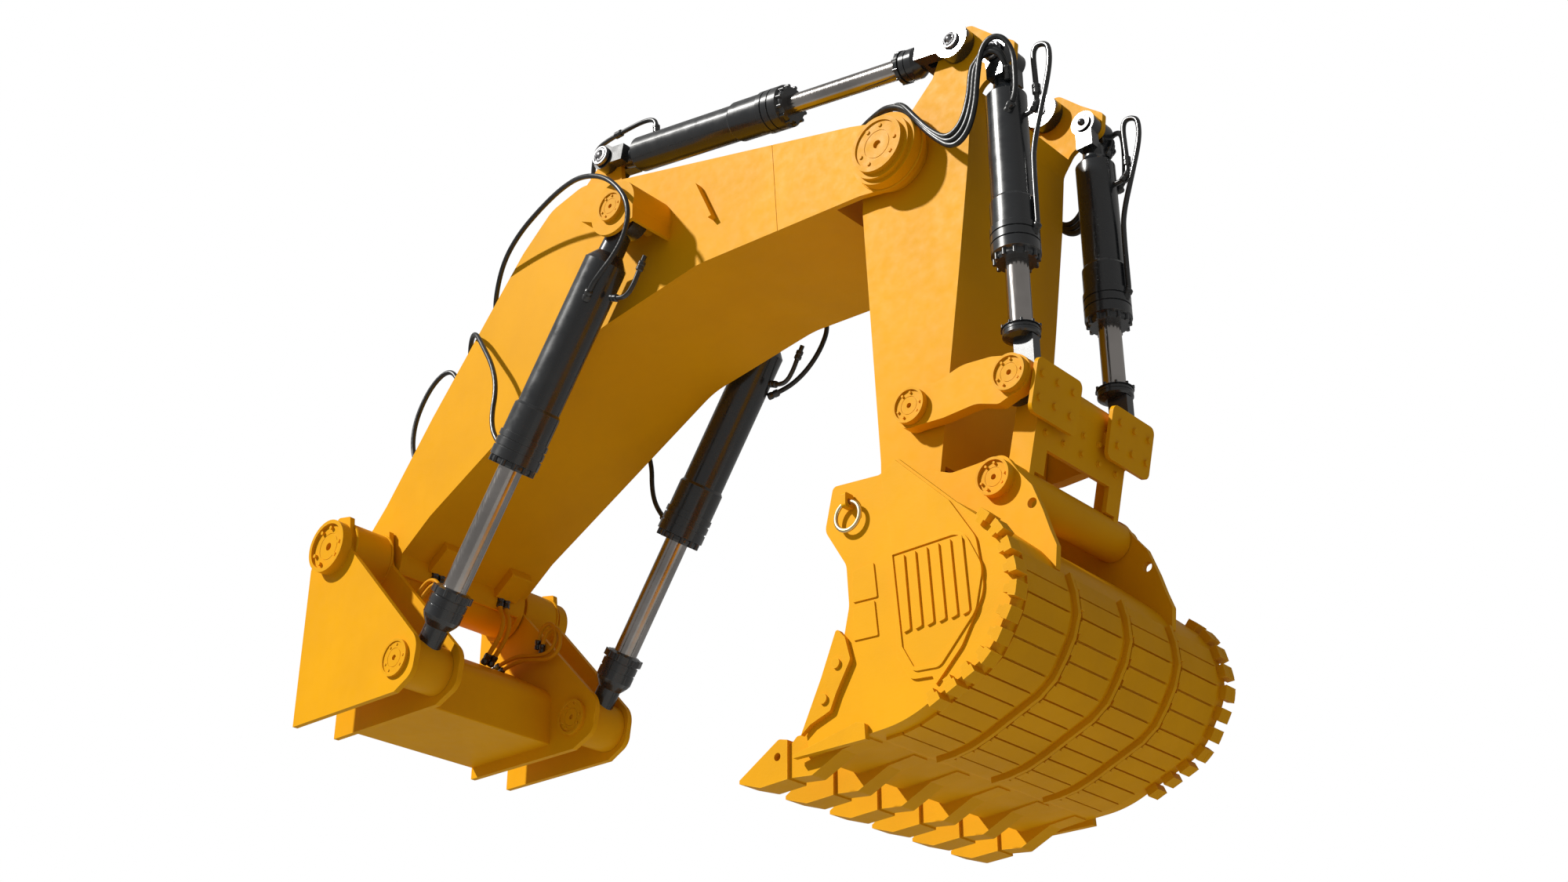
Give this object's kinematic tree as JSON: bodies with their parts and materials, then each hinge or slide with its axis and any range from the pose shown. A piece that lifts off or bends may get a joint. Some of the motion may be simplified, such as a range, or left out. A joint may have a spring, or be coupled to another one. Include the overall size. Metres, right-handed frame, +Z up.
{
  "type": "backhoe front attachment",
  "caption": "Backhoe front for a mining excavator: boom, stick, toothed bucket, rocker linkage and paired hydraulic cylinders on a base bracket.",
  "frame": {"origin": "centre of the underside of the base bracket's cross box, where it rests on the machine's deck", "axes": "+X forwards, from the machine to the bucket; +Y to the machine's left; +Z up"},
  "size_m": [12.1836, 4.4, 10.5442],
  "materials": {
    "yellow_paint": "satin yellow paint",
    "wear_paint": "satin yellow paint on wear parts",
    "pin_paint": "satin yellow paint on pins and keeper discs",
    "charcoal_paint": "gloss charcoal paint",
    "chrome_rod": "polished hard chrome",
    "bare_steel": "turned steel",
    "eye_steel": "turned steel",
    "tooth_steel": "painted cast steel",
    "ring_steel": "zinc plated steel",
    "pipe_block_paint": "black painted pipes",
    "hose_rubber": "matt black rubber"
  },
  "bodies": {
    "bracket": {"bracket_outer_plates": "yellow_paint", "bracket_inner_plates": "yellow_paint", "bracket_cross_box": "yellow_paint", "boom_foot_pins": "pin_paint", "boom_cylinder_lower_pins": "pin_paint"},
    "boom": {"boom_side_plates": "yellow_paint", "boom_top_plate": "yellow_paint", "boom_bottom_plate": "yellow_paint", "boom_foot_tube": "yellow_paint", "boom_tip_bosses": "yellow_paint", "stick_pivot_pins": "pin_paint", "boom_cylinder_brackets": "yellow_paint", "boom_cylinder_upper_pins": "pin_paint", "stick_cylinder_lugs": "yellow_paint", "stick_cylinder_foot_pins": "eye_steel", "boom_pipe_block": "pipe_block_paint", "boom_hose_blocks": "yellow_paint", "boom_cylinder_hoses": "hose_rubber", "boom_foot_hoses": "hose_rubber", "boom_tip_hoses": "hose_rubber"},
    "boom_rods": {"boom_cylinder_rods": "chrome_rod", "boom_cylinder_pistons": "bare_steel", "boom_cylinder_rod_ends": "charcoal_paint"},
    "boom_barrels": {"boom_cylinder_barrels": "charcoal_paint", "boom_cylinder_glands": "charcoal_paint"},
    "stick_barrels": {"stick_cylinder_barrels": "charcoal_paint", "stick_cylinder_glands": "charcoal_paint"},
    "stick_rods": {"stick_cylinder_rods": "chrome_rod", "stick_cylinder_pistons": "bare_steel", "stick_cylinder_rod_ends": "charcoal_paint", "stick_cylinder_end_pins": "eye_steel"},
    "stick": {"stick_side_plates": "yellow_paint", "stick_front_plate": "yellow_paint", "stick_rear_plate": "yellow_paint", "stick_pivot_tube": "yellow_paint", "stick_nose_tube": "yellow_paint", "rocker_pins": "pin_paint", "bucket_cylinder_upper_pins": "eye_steel"},
    "bucket_barrels": {"bucket_cylinder_barrels": "charcoal_paint", "bucket_cylinder_glands": "charcoal_paint"},
    "bucket_rods": {"bucket_cylinder_rods": "chrome_rod", "bucket_cylinder_pistons": "bare_steel", "bucket_cylinder_rod_ends": "charcoal_paint"},
    "rocker": {"rocker_arms": "yellow_paint", "link_top_pin": "pin_paint"},
    "h_link": {"link_frame": "yellow_paint", "link_guard_plates": "yellow_paint"},
    "bucket": {"bucket_shell": "yellow_paint", "bucket_lip": "wear_paint", "bucket_side_plates": "yellow_paint", "bucket_ears": "yellow_paint", "bucket_pivot_pins": "pin_paint", "link_lower_pins": "pin_paint", "tooth_adapters": "wear_paint", "tooth_points": "tooth_steel", "wear_plates": "wear_paint", "heel_shrouds": "wear_paint", "side_cutters": "wear_paint"},
    "ring_left": {"lift_ring_left": "ring_steel"},
    "ring_right": {"lift_ring_right": "ring_steel"}
  },
  "joints": [
    {"name": "boom_lift", "type": "hinge", "parent": "bracket", "child": "boom", "pos_m": [-0.68, 0, 2.36], "axis": [0, -1, 0], "range_deg": [-22, 28], "deforming": ["boom_cylinder_hoses", "boom_foot_hoses"]},
    {"name": "boom_rod_foot", "type": "hinge", "parent": "bracket", "child": "boom_rods", "pos_m": [0.98, 0, 0.3], "axis": [0, -1, 0], "range_deg": [-20, 25]},
    {"name": "boom_cylinder_stroke", "type": "slide", "parent": "boom_rods", "child": "boom_barrels", "axis": [0.5537, 0, 0.8327], "range_m": [-0.96, 1.22]},
    {"name": "stick_swing", "type": "hinge", "parent": "boom", "child": "stick", "pos_m": [8.85, 0, 5.16], "axis": [0, -1, 0], "range_deg": [-25, 30], "deforming": ["boom_tip_hoses"]},
    {"name": "stick_cylinder_foot", "type": "hinge", "parent": "boom", "child": "stick_barrels", "pos_m": [3.64, 0, 7.53], "axis": [0, -1, 0], "range_deg": [-3.2, 3.6]},
    {"name": "stick_cylinder_stroke", "type": "slide", "parent": "stick_barrels", "child": "stick_rods", "axis": [0.9835, 0, -0.1811], "range_m": [-0.77, 0.65]},
    {"name": "bucket_curl", "type": "hinge", "parent": "stick", "child": "bucket", "pos_m": [8.79, 0, 0.37], "axis": [0, -1, 0], "range_deg": [-22, 22]},
    {"name": "rocker_swing", "type": "hinge", "parent": "stick", "child": "rocker", "pos_m": [9.07, 0, 1.55], "axis": [0, -1, 0], "range_deg": [-23, 23]},
    {"name": "link_swing", "type": "hinge", "parent": "rocker", "child": "h_link", "pos_m": [10.45, 0, 1.48], "axis": [0, -1, 0], "range_deg": [-23, 23]},
    {"name": "bucket_cylinder_head", "type": "hinge", "parent": "stick", "child": "bucket_barrels", "pos_m": [10.44, 0, 5.91], "axis": [0, -1, 0], "range_deg": [-0.45, 0.45]},
    {"name": "bucket_cylinder_stroke", "type": "slide", "parent": "bucket_barrels", "child": "bucket_rods", "axis": [0.0023, 0, -1], "range_m": [-0.52, 0.52]},
    {"name": "left_ring_swing", "type": "hinge", "parent": "bucket", "child": "ring_left", "pos_m": [8.85, 2.125, 0.1], "axis": [1, 0, 0], "range_deg": [0, 80]},
    {"name": "right_ring_swing", "type": "hinge", "parent": "bucket", "child": "ring_right", "pos_m": [8.85, -2.125, 0.1], "axis": [-1, 0, 0], "range_deg": [0, 80]}
  ],
  "couplings": [
    {"joint": "boom_rod_foot", "follows": "boom_lift", "ratio": 0.868},
    {"joint": "boom_cylinder_stroke", "follows": "boom_lift", "m_per_rad": 2.4436},
    {"joint": "stick_cylinder_foot", "follows": "stick_swing", "ratio": 0.1128},
    {"joint": "stick_cylinder_stroke", "follows": "stick_swing", "m_per_rad": -1.4382},
    {"joint": "rocker_swing", "follows": "bucket_curl", "ratio": 1},
    {"joint": "link_swing", "follows": "bucket_curl", "ratio": -1},
    {"joint": "bucket_cylinder_head", "follows": "bucket_curl", "ratio": 0.0158},
    {"joint": "bucket_cylinder_stroke", "follows": "bucket_curl", "m_per_rad": -1.322}
  ]
}
